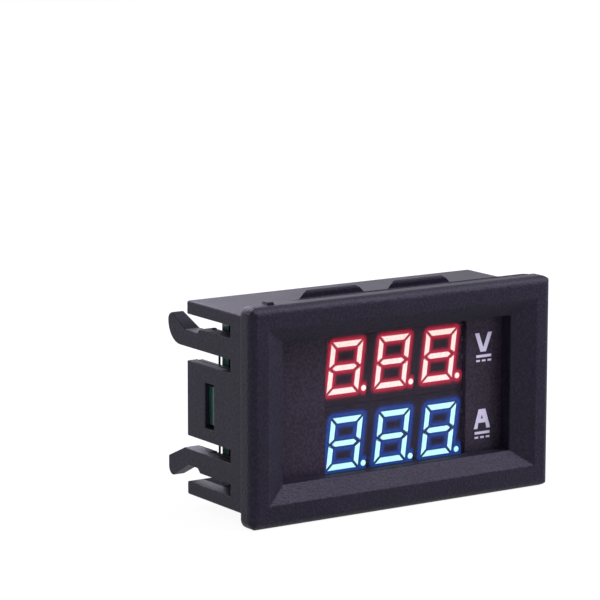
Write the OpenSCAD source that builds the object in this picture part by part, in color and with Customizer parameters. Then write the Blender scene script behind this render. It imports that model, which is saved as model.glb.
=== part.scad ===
// Twin digital panel meter: two three-digit LED displays in a snap-in panel case.
// X runs along the face, Y runs back from the face, Z is up.
// The origin is under the middle of the meter's depth, on the bezel's lower edge.
// Inside the modules, depths are counted from the face and heights from that lower edge.

/* [Bezel] */
// Width of the bezel
bezel_w = 48; // [47:0.5:54]
// Height of the bezel
bezel_h = 29; // [28.6:0.2:34]
// Thickness of the bezel, from its face to the seat behind it
bezel_t = 2.8; // [2.2:0.1:3.4]
// Radius of the bezel's front edges and corners
bezel_r = 1.3; // [0.4:0.1:1.9]

/* [Window] */
// Width of the window inside its bevel
window_w = 36.5; // [32:0.5:39]
// Height of the window inside its bevel
window_h = 18.5; // [16:0.5:20]
// Height of the window's middle above the bezel's
window_rise = 0.1; // [-0.3:0.1:0.5]
// Width of the bevel at the window's left and right
bevel_side = 3.2; // [0.6:0.1:3.6]
// Height of the bevel above and below the window
bevel_end = 2.25; // [0.6:0.05:2.6]
// Depth of the bevel
bevel_depth = 1.6; // [0.8:0.1:2.2]
// Depth from the face to the film
film_depth = 3.6; // [3:0.1:4.6]
// Thickness of the tinted film
film_t = 0.8; // [0.4:0.1:1.2]
// Gap between the film's edge and the shell
film_gap = 0.3; // [0.1:0.05:0.6]

/* [Shell] */
// Width of the shell behind the bezel
shell_w = 45.9; // [45:0.1:46.8]
// Height of the shell behind the bezel
shell_h = 26; // [25.6:0.1:28]
// Depth from the face to the shell's open rear edge
shell_depth = 17.45; // [16:0.05:19]
// Thickness of the shell's top and bottom
shell_wall = 1.78; // [1.2:0.02:1.9]
// Radius of the shell's long outer edges
shell_r = 0.3; // [0.2:0.1:1]
// Thickness of the outer skin of the two sides
skin_t = 1.3; // [0.9:0.05:1.6]
// Thickness of the liner inside each skin
liner_t = 1.15; // [0.7:0.05:1.3]
// How far the liner's edges stand back from the skin's
liner_step = 0.1; // [0.05:0.05:0.4]

/* [Snap arms] */
// Depth from the face at which the side slots start
slot_start = 6.9; // [6:0.1:8.5]
// Height of the tongue in the middle of each side
tongue_h = 10.1; // [8.5:0.1:11]
// Height of the slots beside the tongue
inner_slot = 1.75; // [1.2:0.05:2]
// Height of each snap arm
arm_h = 2.85; // [2.2:0.05:3.1]
// Depth from the face to the arms' noses
arm_reach = 22.3; // [21:0.1:24]
// How far the hook stands above the arm's outer edge
hook_rise = 1.22; // [0.6:0.02:1.5]
// Length of the hook's sloped catch
hook_catch = 3.2; // [2:0.1:3.6]
// Radius of the hook's nose
nose_r = 1.1; // [0.5:0.1:1.3]
// Length of the notch ahead of the catch
notch_l = 3.6; // [1:0.1:4.5]
// Depth of the notch
notch_d = 0.58; // [0.2:0.02:0.8]
// How much further the two lower hooks stand out than the upper ones
hook_extra = 0.3; // [0:0.05:0.4]
// Length of the chamfer at the lower arms' heels
heel_l = 4.1; // [2:0.1:4.8]
// Height of the chamfer at the lower arms' heels
heel_h = 1.8; // [1:0.1:2.6]
// How far the hooks' inner sides lean out towards their noses
nose_taper = 0.9; // [0:0.1:1.1]

/* [Panel wedges] */
// Depth from the face to the wedges' upright faces
wedge_start = 8.5; // [7:0.1:10]
// Length of the wedges' ramps
wedge_l = 3; // [2:0.1:5]
// Height of the wedges above the shell
wedge_h = 1.42; // [0.6:0.02:1.48]
// Width of a wedge's crest
wedge_crest = 8.45; // [4:0.05:10]
// How far a wedge's ends slope out at each side
wedge_slope = 1.4; // [0.4:0.1:2]
// How far each of a wedge's ends closes in along its ramp
wedge_taper = 3; // [0:0.1:3.4]
// Distance between the two wedges on one face
wedge_pitch = 14.05; // [13:0.05:16]
// Depth of the small ledge under a wedge's crest
ledge_d = 0.15; // [0.05:0.05:0.3]
// Height of the crest above that ledge
ledge_h = 0.25; // [0.1:0.05:0.4]

/* [Displays] */
// Width of a display module
display_w = 22.5; // [22.3:0.1:24]
// Height of a display module
display_h = 10; // [9.2:0.1:10]
// Depth of a display module without its feet
display_d = 6.1; // [5:0.1:7]
// Length of the feet between a module and the board
foot_l = 0.9; // [0.5:0.1:1.4]
// Distance between the two modules' middles
display_pitch = 10.1; // [10.1:0.05:10.6]
// Distance of the middle between the two modules below the bezel's
display_drop = 0.55; // [0.1:0.05:0.9]
// Distance of the modules' middle to the right of the window's
display_x = 0.95; // [0:0.05:1.5]
// Distance of the numerals' middle to the left of the modules'
digit_shift = 0.1; // [0:0.02:0.5]
// Height of a numeral
digit_h = 7; // [6:0.1:7.6]
// Width of a numeral
digit_w = 5.08; // [4.4:0.02:5.2]
// Distance between numerals
digit_pitch = 7.62; // [7:0.01:7.7]
// Slant of the numerals
digit_slant = 7; // [0:0.5:10]
// Width of a lit segment
segment_w = 0.8; // [0.5:0.02:1]
// Gap between neighbouring segments
segment_gap = 0.28; // [0.16:0.02:0.4]
// Depth of the segments' pockets
segment_d = 1.2; // [0.6:0.1:2]
// Play round each decimal point in its pocket
point_play = 0.02; // [0.01:0.01:0.05]
// Diameter of the decimal points
point_d = 0.84; // [0.6:0.02:1]
// Distance from a numeral's middle to its decimal point
point_x = 3.42; // [3.3:0.01:3.6]
// Diameter of a display pin
pin_d = 0.5; // [0.4:0.05:0.6]
// Distance between display pins
pin_pitch = 2.54; // [2.4:0.02:2.6]
// Number of pins in each of a module's two rows
pin_columns = 6; // [4:1:7]
// Distance between a module's two rows of pins
pin_rows = 7.62; // [7:0.02:8]
// Length of pin left behind the board
pin_tail = 1.1; // [0.6:0.1:1.5]

/* [Board] */
// Thickness of the circuit board
board_t = 1.6; // [1.2:0.1:2]
// Gap between the board's edge and the shell
board_gap = 0.2; // [0.1:0.05:0.4]
// Height of the tab at each end of the board
tab_h = 5.1; // [3:0.1:6]
// Distance of the tabs' middles below the bezel's
tab_drop = 0.25; // [0:0.05:0.5]
// Distance of each tab's end inside the shell's outer face
tab_recess = 0.65; // [0.3:0.05:1.2]
// Play above and below a tab in its slot
tab_play = 0.45; // [0.1:0.05:0.6]
// Play ahead of a tab in its slot
tab_slack = 0.5; // [0.1:0.05:0.8]
// Play round a lead in its hole in the board
lead_play = 0.1; // [0.05:0.01:0.15]

/* [Sockets] */
// Distance between a socket's pins
socket_pitch = 2.5; // [2.4:0.1:2.6]
// Number of pins in the sense socket
sense_count = 5; // [3:1:6]
// Number of pins in the supply socket
supply_count = 2; // [2:1:3]
// Width of a socket's shroud
shroud_w = 5.75; // [5.6:0.05:6]
// Height of a socket's shroud above the board
shroud_h = 7; // [6:0.1:8]
// Length of a shroud past its outermost pins
shroud_end = 2.45; // [2.2:0.05:2.8]
// Thickness of a shroud's walls
shroud_t = 0.7; // [0.5:0.05:0.8]
// Thickness of a shroud's floor
shroud_floor = 1.2; // [0.8:0.1:1.6]
// Width of the key slots in a shroud's long wall
key_w = 1.3; // [0.8:0.1:1.6]
// Thickness of a socket's square pins
contact_t = 0.64; // [0.5:0.02:0.7]
// Height of a socket's pins above the board
contact_h = 5.2; // [4:0.1:5.6]
// Length of a socket's pins ahead of the board
contact_tail = 1.4; // [0.8:0.1:1.8]
// Distance of the sockets' middles from the board's ends
socket_inset = 4.1; // [3.4:0.1:5]

/* [Trimmers] */
// Width and height of a trimmer's base
trimmer_w = 3.4; // [3.2:0.1:3.8]
// Distance of the trimmers from the board's upper edge
trimmer_inset = 1; // [0.8:0.1:1.4]
// Gap between the two trimmers
trimmer_gap = 2.2; // [1:0.1:3]
// Width of a trimmer's terminals
terminal_w = 0.8; // [0.5:0.05:1]
// Length of a trimmer's terminals past its base
terminal_l = 0.5; // [0.3:0.05:0.7]
// Thickness of a trimmer's base
trimmer_t = 1; // [0.8:0.1:1.4]
// Diameter of a trimmer's rotor
rotor_d = 2.4; // [2:0.1:2.5]
// Thickness of a trimmer's rotor
rotor_t = 0.5; // [0.4:0.05:0.8]
// Gap under a rotor
rotor_gap = 0.05; // [0.03:0.01:0.1]
// Diameter of the bore that a rotor's stem turns in
stem_bore = 0.9; // [0.7:0.05:1.1]
// Play round a rotor's stem
stem_play = 0.04; // [0.02:0.01:0.08]
// Width of the driver slots in a rotor
driver_w = 0.35; // [0.25:0.05:0.45]
// Half the angle that a trimmer's stop covers
stop_angle = 56; // [40:1:57]

/* [Chips on the board] */
// Width of the microcontroller's body across its leads
mcu_w = 4.4; // [4:0.1:4.6]
// Length of the microcontroller's body
mcu_l = 6.5; // [6.2:0.1:7]
// Thickness of the microcontroller's body
mcu_t = 1; // [0.8:0.1:1.4]
// Width of the microcontroller over its leads
mcu_span = 6.3; // [6:0.1:6.4]
// Distance between the microcontroller's leads
mcu_pitch = 0.65; // [0.6:0.01:0.68]
// Distance of the microcontroller to the left of the board's middle
mcu_inset = 9.7; // [9.6:0.1:9.9]
// Distance of the microcontroller below the board's middle
mcu_drop = 0.6; // [0:0.1:1.2]
// Width of the amplifier's body across its leads
amp_w = 3.9; // [3.6:0.1:4]
// Length of the amplifier's body
amp_l = 4.9; // [4.6:0.1:5.2]
// Thickness of the amplifier's body
amp_t = 1.4; // [1:0.1:1.6]
// Width of the amplifier over its leads
amp_span = 5.7; // [5.2:0.1:5.8]
// Distance between the amplifier's leads
amp_pitch = 1.27; // [1.1:0.01:1.3]
// Width of a chip's lead as a share of the distance between leads
lead_share = 0.36; // [0.25:0.01:0.5]
// Thickness of a chip's leads
lead_t = 0.15; // [0.1:0.01:0.2]
// Length of a lead's foot on the board
lead_foot = 0.45; // [0.3:0.05:0.6]
// Gap between a chip's body and the board
chip_lift = 0.08; // [0:0.01:0.1]
// How far a moulded body's flanks slope in
chip_draft = 0.12; // [0.05:0.01:0.2]

/* [Power parts on the board] */
// Width of the regulator's body
regulator_w = 4.5; // [4:0.1:4.8]
// Height of the regulator's body along its leads
regulator_l = 2.5; // [2.2:0.1:2.7]
// Thickness of the regulator's body
regulator_t = 1.5; // [1.2:0.1:1.7]
// Distance between the regulator's leads
regulator_pitch = 1.5; // [1.3:0.05:1.8]
// Width of the regulator's leads
regulator_lead = 0.45; // [0.3:0.05:0.6]
// Length of the regulator's leads past its body
regulator_reach = 0.8; // [0.6:0.05:0.9]
// Thickness of the regulator's leads
regulator_lead_t = 0.35; // [0.25:0.05:0.45]
// How far the regulator's leads are let into its body
regulator_let_in = 0.4; // [0.2:0.1:0.6]
// Width of the regulator's tab
regulator_tab = 1.7; // [1.4:0.1:2]
// Distance of the regulator to the left of the displays' middle
regulator_inset = 3.6; // [3.4:0.1:3.9]
// Length of the diode's body
diode_l = 4.3; // [4:0.1:4.5]
// Width of the diode's body
diode_w = 2.6; // [2.2:0.1:2.9]
// Thickness of the diode's body
diode_t = 2; // [1.6:0.1:2.2]
// Width of the diode's leads
diode_lead = 1.4; // [1.1:0.1:1.6]
// Length of the diode over its leads
diode_span = 5.6; // [5.5:0.1:5.8]
// Gap between the supply socket and the diode
diode_gap = 1.85; // [1:0.05:2]
// Length of the smoothing capacitor's body
smoother_l = 3.5; // [3.2:0.1:3.6]
// Width of the smoothing capacitor's body
smoother_w = 2.8; // [2.4:0.1:3]
// Thickness of the smoothing capacitor's body
smoother_t = 1.9; // [1.5:0.1:2.1]
// Thickness of the smoothing capacitor's end leads
smoother_lead = 0.16; // [0.1:0.02:0.2]
// Distance of the smoothing capacitor to the right of the displays' middle
smoother_inset = 3.4; // [3:0.1:3.6]

/* [Chip resistors and capacitors] */
// Length of a chip resistor or capacitor
chip_l = 1.6; // [1.4:0.1:1.8]
// Width of a chip resistor or capacitor
chip_w = 0.8; // [0.6:0.05:1]
// Thickness of a chip resistor
resistor_t = 0.45; // [0.3:0.05:0.6]
// Thickness of a chip capacitor
capacitor_t = 0.8; // [0.5:0.05:1]
// Length of a chip's plated ends
chip_end = 0.3; // [0.2:0.05:0.4]
// Number of chip resistors in their column
resistor_count = 8; // [6:1:9]
// Distance between the chip resistors in their column
resistor_pitch = 1.75; // [1.6:0.05:1.8]
// Gap between the column of resistors and the sense socket
resistor_gap = 0.9; // [0.6:0.1:1.5]
// Gap between the microcontroller and the capacitors by it
capacitor_gap = 1.4; // [1:0.1:1.7]
// Distance between the two capacitors under the microcontroller
capacitor_pitch = 1.6; // [1.2:0.1:1.8]

/* [Hidden] */
$fn = 48;
arc_steps = 8;          // straight steps in each rounded corner of a hook
over = 0.5;             // how far a cut runs past the face that it opens

mid_z = bezel_h / 2;
window_z = mid_z + window_rise;
display_z = mid_z - display_drop;
side_t = skin_t + liner_t;
cavity_w = shell_w - 2 * side_t;
cavity_h = shell_h - 2 * shell_wall;
arm_in = tongue_h / 2 + inner_slot;
arm_out = arm_in + arm_h;
heel_r = arm_h + hook_rise - nose_r;

display_face = film_depth + film_t;
display_back = display_face + display_d;
board_front = display_back + foot_l;
board_rear = board_front + board_t;
board_w = cavity_w - 2 * board_gap;
board_h = cavity_h - 2 * board_gap;
tab_end = shell_w / 2 - tab_recess;
slant = tan(digit_slant);
row_z = [display_z + display_pitch / 2, display_z - display_pitch / 2];

sense_x = board_w / 2 - socket_inset;
supply_x = -sense_x;
supply_z = -socket_pitch; // one pin's pitch under the middle
trimmer_z = board_h / 2 - trimmer_w / 2 - trimmer_inset;
trimmer_x = [supply_x, supply_x + trimmer_w + trimmer_gap];

// Moves a node from face depths to the meter's own origin
module placed() translate([0, -arm_reach / 2, 0]) children();

// Extrudes a flat (x, z) shape from one depth to another
module slab(y0, y1) translate([0, y1, 0]) rotate([90, 0, 0]) linear_extrude(y1 - y0) children();

// Extrudes a flat (y, z) shape from one x to another
module bar(x0, x1) translate([x0, 0, 0]) rotate([90, 0, 90]) linear_extrude(x1 - x0) children();

// Puts a part on the board's rear: its own z points away from the board, its own y down
module on_board(x, z) translate([x, board_rear, mid_z + z]) rotate([-90, 0, 0]) children();

// Points of an arc from angle a0 to a1
function arc(centre, r, a0, a1) = [
    for (i = [0:arc_steps]) let (a = a0 + (a1 - a0) * i / arc_steps) centre + r * [cos(a), sin(a)]
];

// Rectangle with round corners, about the origin
module rounded(w, h, r) {
    square([w - 2 * r, h], center = true);
    square([w, h - 2 * r], center = true);
    for (x = [-1, 1], z = [-1, 1]) translate([x * (w / 2 - r), z * (h / 2 - r)]) circle(r);
}

// One side view of the bezel, (depth, across), with its two front corners round
module bezel_view(size) {
    translate([bezel_r, -size / 2]) square([bezel_t - bezel_r, size]);
    translate([0, -size / 2 + bezel_r]) square([bezel_t, size - 2 * bezel_r]);
    for (s = [-1, 1]) translate([bezel_r, s * (size / 2 - bezel_r)]) circle(bezel_r);
}

// Bezel plate, round along every front edge
module bezel() translate([0, 0, mid_z]) intersection() {
    slab(0, bezel_t) rounded(bezel_w, bezel_h, bezel_r);
    bar(-bezel_w / 2, bezel_w / 2) bezel_view(bezel_h);
    translate([0, 0, -bezel_h / 2]) linear_extrude(bezel_h) mirror([1, -1]) bezel_view(bezel_w);
}

// Side view of a window cut: straight inside, flaring to the face
module window_view(size, bevel) polygon([
    [-over, -size / 2 - bevel * (1 + over / bevel_depth)],
    [bevel_depth, -size / 2],
    [film_depth + over, -size / 2],
    [film_depth + over, size / 2],
    [bevel_depth, size / 2],
    [-over, size / 2 + bevel * (1 + over / bevel_depth)]
]);

// Window through the front wall, with a bevel all round
module window_cut() translate([0, 0, window_z]) intersection() {
    bar(-bezel_w / 2, bezel_w / 2) window_view(window_h, bevel_end);
    translate([0, 0, -bezel_h / 2]) linear_extrude(bezel_h) mirror([1, -1]) window_view(window_w, bevel_side);
}

// Slots that free the tongue and the arms, in one layer of the two sides
module side_slots(x0, x1, step) for (s = [-1, 1]) {
    low = tongue_h / 2 - step;
    translate([0, 0, mid_z]) for (x = [[-x1, -x0], [x0, x1]])
        bar(x[0], x[1]) translate([slot_start, s > 0 ? low : -cavity_h / 2])
            square([shell_depth - slot_start + over, cavity_h / 2 - low]);
}

// Slot through each tongue that the board's tab sits in
module tab_slots() translate([0, 0, mid_z]) for (s = [-1, 1])
    translate([s * (shell_w / 2 - side_t / 2), board_rear - (board_t + tab_slack) / 2, -tab_drop])
        cube([side_t + 2 * over, board_t + tab_slack, tab_h + 2 * tab_play], center = true);

// Side view of a snap arm with its hook, (depth, height out from the middle), for a lower arm if low is 1
function arm_outline(low) = let (
    ridge = [arm_reach - nose_r, arm_out + hook_rise + low * hook_extra],
    floor_z = arm_out - notch_d,
    notch_y = ridge.x - hook_catch - notch_l,
    catch_y = ridge.x - hook_catch * (ridge.y - floor_z) / (hook_rise + notch_d)
) concat(
    [[slot_start - over, arm_in]],
    low > 0
        ? [[arm_reach - heel_l, arm_in], [arm_reach, arm_in + heel_h]]
        : arc([arm_reach - heel_r, arm_in + heel_r], heel_r, 270, 360),
    arc(ridge - [0, nose_r], nose_r, low > 0 ? 0 : 90 / arc_steps, 90),
    [[catch_y, floor_z], [notch_y + notch_d, floor_z], [notch_y, arm_out]],
    [[slot_start - over, arm_out]]
);

// The four snap arms at the sides of the open rear
module arms() translate([0, 0, mid_z]) for (side = [0, 1], low = [0, 1])
    mirror([side, 0, 0]) mirror([0, 0, low]) difference() {
        inner_x = side_t - shell_w / 2;
        bar(-shell_w / 2, inner_x) polygon(arm_outline(low));
        for (edge = [arm_in, arm_out - liner_step])
            bar(inner_x - liner_t, inner_x) translate([slot_start, edge])
                square([shell_depth - slot_start - notch_l, liner_step]);
        translate([0, 0, arm_in - over]) linear_extrude(shell_h) polygon([
            [inner_x, shell_depth], [inner_x - nose_taper, arm_reach + over],
            [inner_x + over, arm_reach + over], [inner_x + over, shell_depth]
        ]);
    }

// What is cut off a wedge at its right end: a plane that leans in and closes towards the rear
module wedge_end() {
    turn = atan(wedge_taper / wedge_l);
    lean = atan(wedge_slope * cos(turn) / wedge_h);
    translate([wedge_crest / 2 + wedge_slope, wedge_start, 0]) rotate([0, -lean, turn])
        translate([0, -shell_h / 2, -shell_h / 2]) cube(shell_h);
}

// One ramped wedge that holds the panel against the bezel, on top of the shell
module wedge(x) translate([x, 0, 0]) difference() {
    bar(-display_w / 2, display_w / 2) polygon([
        [wedge_start, -over], [wedge_start, wedge_h - ledge_h],
        [wedge_start + ledge_d, wedge_h - ledge_h], [wedge_start + ledge_d, wedge_h],
        [wedge_start + 3 * ledge_d, wedge_h], [wedge_start + wedge_l, 0], [wedge_start + wedge_l, -over]
    ]);
    for (end = [0, 1]) mirror([end, 0, 0]) wedge_end();
}

// Case moulding: bezel, open-backed shell, four snap arms, two tongues and four wedges
module case() color("#2b2930") placed() {
    difference() {
        union() {
            bezel();
            translate([0, 0, mid_z]) slab(bezel_t - over, shell_depth) rounded(shell_w, shell_h, shell_r);
        }
        window_cut();
        translate([0, 0, mid_z]) slab(film_depth, shell_depth + over) square([cavity_w, cavity_h], center = true);
        side_slots(cavity_w / 2 - over, cavity_w / 2 + liner_t, liner_step);
        side_slots(cavity_w / 2 + liner_t, shell_w / 2 + over, 0);
        tab_slots();
    }
    arms();
    translate([0, 0, mid_z]) for (s = [0, 1], side = [-1, 1])
        mirror([0, 0, s]) translate([0, 0, shell_h / 2]) wedge(display_x + side * wedge_pitch / 2);
}

// Tinted film behind the window
module window_film() color("#332c30", 0.6) placed() translate([0, 0, mid_z])
    slab(film_depth, film_depth + film_t) rounded(cavity_w - 2 * film_gap, cavity_h - 2 * film_gap, film_gap);

// Slants a numeral's flat points to the right as they rise
function slanted(points) = [for (p = points) [p.x + p.y * slant, p.y]];

// Level bar at the numeral's top (side 1) or bottom (side -1)
function end_bar(side) = let (w = digit_w / 2 - segment_gap * 0.7, h = digit_h / 2, t = segment_w) [
    [-w, side * h], [w, side * h], [w - t, side * (h - t)], [-w + t, side * (h - t)]
];

// Upright bar, to the left or right and above or below the numeral's middle
function side_bar(left, up) = let (w = digit_w / 2, h = digit_h / 2 - segment_gap * 0.7, t = segment_w) [
    [left * w, up * segment_gap], [left * w, up * h],
    [left * (w - t), up * (h - t)], [left * (w - t), up * (t + segment_gap) / 2 * 1.2]
];

// Middle bar with pointed ends
function middle_bar() = let (w = digit_w / 2 - 2 * segment_gap, t = segment_w * 0.9) [
    [-w, 0], [-w + t / 2, t / 2], [w - t / 2, t / 2], [w, 0], [w - t / 2, -t / 2], [-w + t / 2, -t / 2]
];

// One numeral's seven bars and its decimal point, with the play round the point
module numeral(play) {
    bars = concat(
        [for (s = [-1, 1]) end_bar(s)],
        [for (s = [-1, 1], up = [-1, 1]) side_bar(s, up)],
        [middle_bar()]
    );
    for (b = bars) polygon(slanted(b));
    translate([point_x - slant * digit_h / 2, -digit_h / 2 + point_d / 2]) circle(point_d / 2 + play, $fn = 24);
}

// Three numerals side by side
module numerals(play) for (i = [-1:1]) translate([i * digit_pitch - digit_shift, 0]) numeral(play);

// Places of a module's pins, about its middle
function pin_places() = [
    for (i = [0:pin_columns - 1], s = [-1, 1]) [(i - (pin_columns - 1) / 2) * pin_pitch, s * pin_rows / 2]
];

// Display module's housing, with a pocket for each segment and a foot at each corner
module display_housing(z) placed() translate([display_x, 0, z]) {
    difference() {
        slab(display_face, display_back) square([display_w, display_h], center = true);
        slab(display_face - over, display_face + segment_d) numerals(point_play);
    }
    for (x = [-1, 1], s = [-1, 1])
        translate([x * (display_w / 2 - foot_l), display_back + foot_l / 2, s * (display_h / 2 - foot_l)])
            cube(foot_l, center = true);
}

// A module's lit segments, flush with its face
module display_segments(z) placed() translate([display_x, 0, z])
    slab(display_face, display_face + segment_d - point_play) numerals(0);

// A module's pins, through the board
module display_pins(z) placed() translate([display_x, 0, z])
    slab(display_back, board_rear + pin_tail) for (p = pin_places()) translate(p) circle(pin_d / 2, $fn = 24);

module red_display_housing() color("#3a3438") display_housing(row_z[0]);
module red_segments() color("#ff4646") display_segments(row_z[0]);
module red_display_pins() color("#c9c9c4") display_pins(row_z[0]);
module blue_display_housing() color("#3a3438") display_housing(row_z[1]);
module blue_segments() color("#3c9bff") display_segments(row_z[1]);
module blue_display_pins() color("#c9c9c4") display_pins(row_z[1]);

// Heights of a socket's pins about the board's middle
function contact_places(count) = [for (i = [0:count - 1]) (i - (count - 1) / 2) * socket_pitch];

// Circuit board with a tab at each end and a hole for every lead
module circuit_board() color("#14523a") placed() translate([0, 0, mid_z]) difference() {
    slab(board_front, board_rear) {
        square([board_w, board_h], center = true);
        translate([0, -tab_drop]) square([2 * tab_end, tab_h], center = true);
    }
    slab(board_front - over, board_rear + over) {
        for (z = row_z, p = pin_places()) translate([display_x, z - mid_z] + p)
            circle(pin_d / 2 + lead_play, $fn = 24);
        for (z = contact_places(sense_count)) translate([sense_x, z]) contact_hole();
        for (z = contact_places(supply_count)) translate([supply_x, supply_z + z]) contact_hole();
    }
}

// Round hole that clears a square pin
module contact_hole() circle(contact_t / 2 * sqrt(2) + lead_play, $fn = 24);

// Solder cones round the display pins behind the board
module display_solder() color("#b9bcc0") placed() for (z = row_z, p = pin_places())
    translate([display_x + p.x, board_rear, z + p.y]) rotate([-90, 0, 0]) difference() {
        cylinder(h = pin_tail * 0.7, r1 = pin_d * 1.5, r2 = pin_d * 0.7, $fn = 24);
        translate([0, 0, -over]) cylinder(h = pin_tail + 2 * over, r = pin_d / 2, $fn = 24);
    }

// Keyed shroud of a socket, its length upright on the board
module socket_shroud(x, z, count) {
    length = (count - 1) * socket_pitch + 2 * shroud_end;
    on_board(x, z) difference() {
        linear_extrude(shroud_h) square([shroud_w, length], center = true);
        translate([0, 0, shroud_floor]) linear_extrude(shroud_h)
            square([shroud_w - 2 * shroud_t, length - 2 * shroud_t], center = true);
        for (s = [-1, 1])
            translate([shroud_w / 2, s * (length / 2 - shroud_end), shroud_floor + shroud_h / 2])
                cube([2 * shroud_t + over, key_w, shroud_h], center = true);
        for (y = contact_places(count)) translate([0, y, 0])
            cube([contact_t + lead_play, contact_t + lead_play, 3 * shroud_floor], center = true);
    }
}

// Square pins of a socket, through its floor and the board
module socket_pins(x, z, count) on_board(x, z) for (y = contact_places(count))
    translate([0, y, (contact_h - board_t - contact_tail) / 2])
        cube([contact_t, contact_t, contact_h + board_t + contact_tail], center = true);

module sense_socket_shroud() color("#e9e6dd") placed() socket_shroud(sense_x, 0, sense_count);
module sense_socket_pins() color("#cfcbb8") placed() socket_pins(sense_x, 0, sense_count);
module supply_socket_shroud() color("#e9e6dd") placed() socket_shroud(supply_x, supply_z, supply_count);
module supply_socket_pins() color("#cfcbb8") placed() socket_pins(supply_x, supply_z, supply_count);

stop_in = rotor_d / 2 + 0.1;
stop_out = trimmer_w / 2 - 0.05;
tab_reach = (stop_in + stop_out) / 2;

// Trimmer's base, with the bore for the rotor's stem and the stop that limits its turn
module trimmer_base() difference() {
    union() {
        linear_extrude(trimmer_t) square(trimmer_w, center = true);
        rotate(90 - stop_angle) rotate_extrude(angle = 2 * stop_angle)
            translate([stop_in, 0]) square([stop_out - stop_in, trimmer_t + rotor_gap + rotor_t * 0.8]);
    }
    translate([0, 0, trimmer_t / 4]) cylinder(h = trimmer_t, r = stem_bore / 2, $fn = 24);
}

// Trimmer's rotor: slotted disc, stem, and the tab that meets the stop
module trimmer_rotor() translate([0, 0, trimmer_t + rotor_gap]) difference() {
    union() {
        cylinder(h = rotor_t, r = rotor_d / 2);
        translate([0, 0, -trimmer_t / 2]) cylinder(h = trimmer_t / 2 + rotor_t / 2, r = stem_bore / 2 - stem_play, $fn = 24);
        translate([-driver_w / 2, -tab_reach, 0]) cube([driver_w, tab_reach, rotor_t * 0.6]);
    }
    for (l = [[driver_w, rotor_d * 0.75], [rotor_d * 0.75, driver_w]])
        translate([0, 0, rotor_t]) cube([l[0], l[1], rotor_t], center = true);
}

module voltage_trimmer_base() color("#d8d2c0") placed() on_board(trimmer_x[0], trimmer_z) trimmer_base();
module voltage_trimmer_rotor() color("#c8a24e") placed() on_board(trimmer_x[0], trimmer_z) trimmer_rotor();
module current_trimmer_base() color("#d8d2c0") placed() on_board(trimmer_x[1], trimmer_z) trimmer_base();
module current_trimmer_rotor() color("#c8a24e") placed() on_board(trimmer_x[1], trimmer_z) trimmer_rotor();

// Three soldered terminals at the foot of each trimmer
module trimmer_terminals() color("#c4c6c8") placed() for (x = trimmer_x) on_board(x, trimmer_z)
    for (t = [[-trimmer_w / 3, 1], [trimmer_w / 3, 1], [0, -1]])
        translate([t[0], t[1] * (trimmer_w + terminal_l) / 2, trimmer_t / 4])
            cube([terminal_w, terminal_l, trimmer_t / 2], center = true);

// Two rows of gull-wing leads beside a body, each row along the part's y
module gull_leads(count, pitch, lead_w, body_w, span, rise) for (s = [0, 1], i = [0:count - 1])
    mirror([s, 0, 0]) translate([0, (i - (count - 1) / 2) * pitch + lead_w / 2, 0])
        rotate([90, 0, 0]) linear_extrude(lead_w) polygon([
            [body_w / 2, rise], [body_w / 2 + 2 * lead_t, rise], [span / 2 - lead_foot, lead_t], [span / 2, lead_t],
            [span / 2, 0], [span / 2 - lead_foot - lead_t, 0], [body_w / 2 + lead_t, rise - lead_t],
            [body_w / 2, rise - lead_t]
        ]);

// End view of a moulded body, widest at half its height
module flank(size, t) polygon([
    [-size / 2 + chip_draft, 0], [size / 2 - chip_draft, 0], [size / 2, t / 2],
    [size / 2 - chip_draft, t], [-size / 2 + chip_draft, t], [-size / 2, t / 2]
]);

// Moulded body with sloped flanks, seated just above the board
module chip_body(w, l, t) translate([0, 0, chip_lift]) intersection() {
    rotate([90, 0, 0]) translate([0, 0, -l / 2]) linear_extrude(l) flank(w, t);
    rotate([90, 0, 90]) translate([0, 0, -w / 2]) linear_extrude(w) flank(l, t);
}

// Places of the moulded parts
module at_mcu() placed() on_board(-mcu_inset, -mcu_drop) children();
module at_amp() placed() on_board(display_x, row_z[1] - mid_z) rotate(90) children();
module at_regulator() placed() on_board(display_x - regulator_inset, row_z[0] - mid_z) children();
module at_smoother() placed() on_board(display_x + smoother_inset, row_z[0] - mid_z) children();
module at_diode() placed() on_board(supply_x, diode_z) rotate(90) children();
diode_z = supply_z + (supply_count - 1) / 2 * socket_pitch + shroud_end + diode_gap + diode_w / 2;

module microcontroller_body() color("#26262a") at_mcu() chip_body(mcu_w, mcu_l, mcu_t);
module microcontroller_leads() color("#c4c6c8") at_mcu()
    gull_leads(10, mcu_pitch, mcu_pitch * lead_share, mcu_w, mcu_span, chip_lift + mcu_t / 2);

module amplifier_body() color("#26262a") at_amp() chip_body(amp_w, amp_l, amp_t);
module amplifier_leads() color("#c4c6c8") at_amp()
    gull_leads(4, amp_pitch, amp_pitch * lead_share, amp_w, amp_span, chip_lift + amp_t / 2);

module diode_body() color("#242428") at_diode() chip_body(diode_w, diode_l, diode_t);
module diode_leads() color("#c4c6c8") at_diode() rotate(90)
    gull_leads(1, diode_l, diode_lead, diode_l, diode_span, chip_lift + diode_t / 2);

// Three leads below the regulator and its tab above, let into the foot of its body
module regulator_feet() {
    length = regulator_reach + regulator_let_in;
    for (f = [[-regulator_pitch, 1, regulator_lead], [0, 1, regulator_lead], [regulator_pitch, 1, regulator_lead],
              [0, -1, regulator_tab]])
        translate([f[0], f[1] * ((regulator_l + length) / 2 - regulator_let_in), regulator_lead_t / 2])
            cube([f[2], length, regulator_lead_t], center = true);
}
module regulator_body() color("#26262a") at_regulator() difference() {
    chip_body(regulator_w, regulator_l, regulator_t);
    regulator_feet();
}
module regulator_leads() color("#c4c6c8") at_regulator() regulator_feet();

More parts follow.
